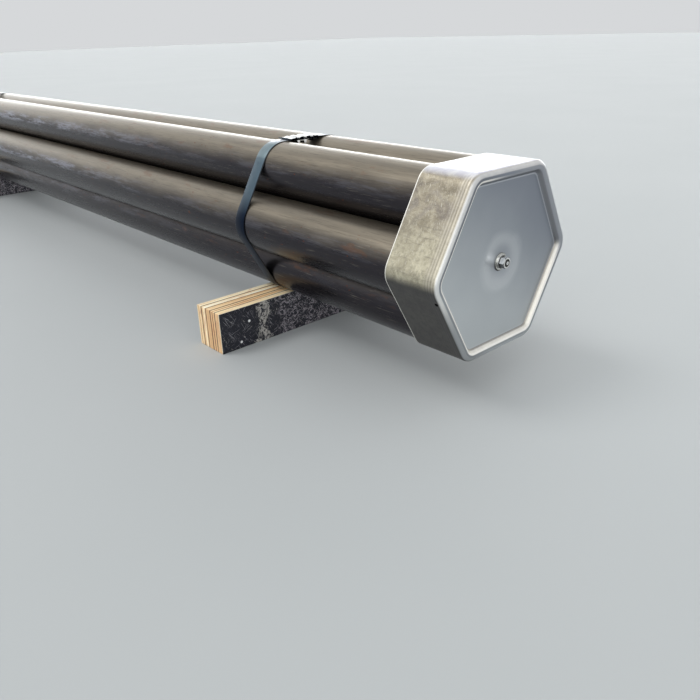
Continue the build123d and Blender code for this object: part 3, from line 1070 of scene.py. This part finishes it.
def make_caps():
    """The two pressed caps. Each gets its waves, draw lines and crown, and its vent hole."""
    finish = galvanised_sheet()
    press = pressing()
    skins = cap_skin(0, outer_skin_spacing) + cap_skin(cap_sheet, inner_skin_spacing)[::-1]
    for node, side in (("cap_box_end", 1), ("cap_pin_end", -1)):
        rings = [hexagon_ring(side * x, half_height, radius) for x, half_height, radius in skins]
        cap = loft(rings, "from_wall", [cap_half_height - half_height for x, half_height, radius in skins])
        cap = press.run(cap, finish, {
            "Front": cap_high.x, "Axis Z": pack_centre_z, "Wave": wall_wave, "Crown": panel_crown,
            "Draw line depth": draw_line_depth, "Draw line pitch": draw_line_pitch,
        })
        vent = Vector((side * vent_place.x, vent_place.y, vent_place.z))
        cap = bored(cap, vent, low_left_way, vent_radius, 4 * cap_front_radius, finish)
        dress(node, "galvanised_sheet", cap, finish)


def make_tie_rod(finish, lathe, cutter):
    """The tie rod, threaded at both ends."""
    low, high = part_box("tie_rod")
    spacing = tie_thread_pitch / 8
    left_thread = (low.x, low.x + tie_thread_length)
    right_thread = (high.x - tie_thread_length, high.x)
    left_rows = stations(low.x + tie_chamfer, left_thread[1], spacing)
    right_rows = stations(right_thread[0], high.x - tie_chamfer, spacing)
    section = [(low.x, tie_centre_mark), (low.x, tie_radius - tie_chamfer)]
    section += [(x, tie_radius) for x in left_rows + right_rows]
    section += [(high.x, tie_radius - tie_chamfer), (high.x, tie_centre_mark)]
    rod = lathe.run(section_mesh(section), finish, {"Sides": tie_sides, **pack_axis})
    thread = {"Pitch": tie_thread_pitch, "Depth": -tie_thread_depth, "Run-out": tie_thread_pitch, **pack_axis}
    for start, end in (left_thread, right_thread):
        run = {"Start": start - tie_thread_pitch / 2, "End": end + tie_thread_pitch / 2}
        rod = cutter.run(rod, finish, {**thread, **run})
    dress("tie_rod", "zinc_plate", rod, finish, crease=24)


def make_washers(finish, lathe):
    """Flat washers, a little rounded at the rim and the bore."""
    for node in ("plate_washer_box_end", "plate_washer_pin_end", "washer_box_end", "washer_pin_end"):
        low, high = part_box(node)
        radius = span(node).z / 2
        seam = (low.x, washer_bore_radius + washer_seam_from_bore)
        corners = [
            seam,
            (low.x, radius, washer_edge),
            (high.x, radius, washer_edge),
            (high.x, washer_bore_radius, washer_bore_edge),
            (low.x, washer_bore_radius, washer_bore_edge),
            seam,
        ]
        section = section_mesh(rounded(corners, 4)[:-1])
        dress(node, "zinc_plate", lathe.run(section, finish, {"Sides": turned_sides, **pack_axis}), finish)


def make_nuts(finish):
    """Hexagon nuts, chamfered at both faces so that the faces meet the flats in arcs."""
    for node in ("nut_box_end", "nut_pin_end"):
        low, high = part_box(node)
        flat = span(node).z / 2
        corner = flat / cos(radians(30)) - nut_corner_cut
        bore = nut_bore_radius
        mouth = bore + nut_countersink
        face = flat - nut_face_inset
        rings = []
        for x, round_radius in (
            (low.x, mouth), (low.x + nut_countersink, bore), (high.x - nut_countersink, bore),
            (high.x, mouth), (high.x, face), (high.x, None), (low.x, None), (low.x, face),
        ):
            ring = []
            for k in range(turned_sides):
                angle = 2 * pi * k / turned_sides
                radius = round_radius or min(flat / cos(angle % radians(60) - radians(30)), corner)
                drop = 0 if round_radius else (radius - face) * tan(radians(30))
                along = x - drop if x == high.x else x + drop
                ring.append((along, radius * cos(angle), pack_centre_z + radius * sin(angle)))
            rings.append(ring)
        dress(node, "zinc_plate", loft(rings), finish)


def strap_path(x):
    """A strap's middle line: up from its lower end, round the pack, and back over itself to its upper end."""
    top_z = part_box("rod_top_left")[1].z + band_offset
    upper_z = top_z + strap_thickness
    end_y = seal_high.y + strap_end_from_seal
    line = rounded([
        (end_y, top_z - strap_end_length),
        (end_y - strap_end_lean, top_z, strap_end_bend),
        (seal_low.y, top_z),
    ])
    reach = rod_radius + band_offset
    for number, rod in enumerate(rods_from_top_left + rods_from_right):
        line += arc(Vector((middle(rod).y, middle(rod).z)), reach, 90 + 60 * number, 60, 12)
    line += rounded([
        line[-1],
        (seal_high.y + lap_start_from_seal, top_z, lap_bend),
        (seal_high.y + lap_end_from_seal, upper_z, lap_bend),
        (seal_low.y - strap_tail_bend_from_seal, upper_z, strap_tail_bend),
        (seal_low.y - strap_tail_length, upper_z + strap_tail_lift),
    ])[1:]
    return [(x, place.x, place.y) for place in divided(line, strap_spacing)]


def seal_ring(y, x, inset):
    """The outline of a seal's sleeve across Y, inset from its outer skin."""
    half_width = (seal_high.x - seal_low.x) / 2 - inset
    low = seal_low.z + inset
    high = seal_high.z - inset
    radius = max(seal_inner_edge, seal_edge - inset)
    ring = []
    for side_x, side_z, turn in ((1, 1, 0), (-1, 1, 90), (-1, -1, 180), (1, -1, 270)):
        hub_z = high - radius if side_z > 0 else low + radius
        hub = Vector((x + side_x * (half_width - radius), hub_z))
        ring += [(place.x, y, place.y) for place in arc(hub, radius, turn, 90, 4)]
    return ring


def make_straps():
    """Each strap is one long band. Its seal is a sleeve folded round both layers, and both are crimped."""
    band_finish = strap_steel()
    seal_finish = seal_steel()
    layer = banding()
    tool = crimping()
    size = {"Width": 2 * strap_half_width, "Thickness": strap_thickness, "Edge": strap_edge}
    rows = stations(seal_low.y, seal_high.y, seal_row)
    for end, x in (("box_end", strap_x), ("pin_end", -strap_x)):
        crimps = {
            "Middle": (x, seal_middle.y, seal_middle.z), "Half width": (seal_high.x - seal_low.x) / 2,
            "Count": crimp_count, "Pitch": crimp_pitch, "Depth": crimp_depth, "Lift": crimp_lift,
        }
        path = strap_path(x)
        band = mesh_of(path, [(i, i + 1) for i in range(len(path) - 1)])
        band = closed(layer.run(band, band_finish, size))
        band = tool.run(band, band_finish, {**crimps, "Sag": 0.0})
        dress("strap_" + end, "strap_steel", band, band_finish)
        sleeve = loft([seal_ring(y, x, 0) for y in rows] + [seal_ring(y, x, seal_sheet) for y in rows[::-1]])
        sleeve = tool.run(sleeve, seal_finish, {**crimps, "Sag": lip_sag})
        dress("seal_" + end, "seal_steel", sleeve, seal_finish)


def make_bearers():
    """Each bearer is a stack of plywood boards on edge, with black film left on its two sides."""
    edge_finish = laminated_timber()
    film_finish = bearer_film()
    saw = boarding()
    for node in ("bearer_box_end", "bearer_pin_end"):
        low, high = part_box(node)
        timber = saw.run(mesh_of([]), edge_finish, {
            "Low corner": tuple(low), "Size": tuple(high - low), "Count": board_count,
            "Unevenness": saw_unevenness,
        })
        shape = bmesh.new()
        shape.from_mesh(timber)
        bmesh.ops.recalc_face_normals(shape, faces=shape.faces)
        arrises = [edge for edge in shape.edges if edge.calc_face_angle(0) > radians(50)]
        bmesh.ops.bevel(shape, geom=arrises, offset=board_edge, segments=2, profile=0.5, affect="EDGES")
        for face in shape.faces:
            outer = min(abs(face.calc_center_median().x - x) for x in (low.x, high.x)) < 0.1 * mm
            face.material_index = 1 if outer and abs(face.normal.x) > 0.9 else 0
        shape.to_mesh(timber)
        shape.free()
        dress(node, "laminated_timber", timber, edge_finish, film_finish)


make_rods()
make_caps()
zinc = zinc_plate()
make_tie_rod(zinc, turning(), threading())
make_washers(zinc, turning())
make_nuts(zinc)
make_straps()
make_bearers()


def make_floor():
    """A wide pale floor."""
    reach = 40
    corners = [(-reach, -reach, 0), (reach, -reach, 0), (reach, reach, 0), (-reach, reach, 0)]
    floor_mesh = mesh_of(corners, (), [(0, 1, 2, 3)])
    floor_mesh.materials.append(pale_floor())
    floor = put("floor", floor_mesh)


def make_world():
    """A plain pale room, with a long bright window behind the bundle and open sky behind the camera.

    The camera itself sees the room evenly lit.
    """
    world = bpy.data.worlds.new("room")
    world.use_nodes = True
    bpy.context.scene.world = world
    room = Graph(world.node_tree)
    room.tree.nodes.clear()
    way = room.node("ShaderNodeTexCoord", output="Generated")
    z = parts(way)[2]
    side = step(toward(way, (-0.68, 0.73, 0.0)), 0.5, 0.85)
    window = side * between(z, 0.06, 0.1, 0.17, 0.26)
    glow = side * between(z, 0.05, 0.3, 0.45, 0.85)
    above = step(z, 0.0, 0.7)
    open_sky = step(toward(way, (0.52, -0.75, 0.4)), 0.72, 0.96)
    seen = room.node("ShaderNodeLightPath", output="Is Camera Ray")
    strength = 0.7 + 0.16 * above + (1 - seen) * (0.4 * glow + 7.0 * window + 1.1 * open_sky)
    light = add_node("ShaderNodeBackground", None, {"Color": (0.96, 0.98, 1.0, 1), "Strength": strength})
    room.end("ShaderNodeOutputWorld", light)


def make_sun(way, strength, softness):
    """One broad soft lamp, far off in a direction."""
    light = bpy.data.lights.new("sun", "SUN")
    light.energy = strength
    light.angle = radians(softness)
    holder = put("sun", light)
    holder.rotation_mode = "QUATERNION"
    holder.rotation_quaternion = Vector(way).to_track_quat("Z", "Y")


def make_camera():
    """The camera stands off the box ends, a little above the bundle, as the photograph's did."""
    eye = Vector((2.2050, -0.9222, 0.6073))
    heading = radians(138.374)
    pitch = radians(-25.166)
    roll = radians(1.626)
    lens = bpy.data.cameras.new("camera")
    lens.sensor_width = 36
    lens.lens = 35.038
    lens.clip_start = 0.01
    lens.clip_end = 200
    turned = Matrix.Rotation(heading - pi / 2, 4, "Z") @ Matrix.Rotation(pi / 2 + pitch, 4, "X")
    holder = put("camera", lens)
    holder.matrix_world = Matrix.Translation(eye) @ turned @ Matrix.Rotation(-roll, 4, "Z")
    bpy.context.scene.camera = holder


make_floor()
make_world()
make_sun((-0.35, -0.45, 0.82), 0.9, 25)
make_camera()

bpy.context.scene.view_settings.view_transform = "Standard"
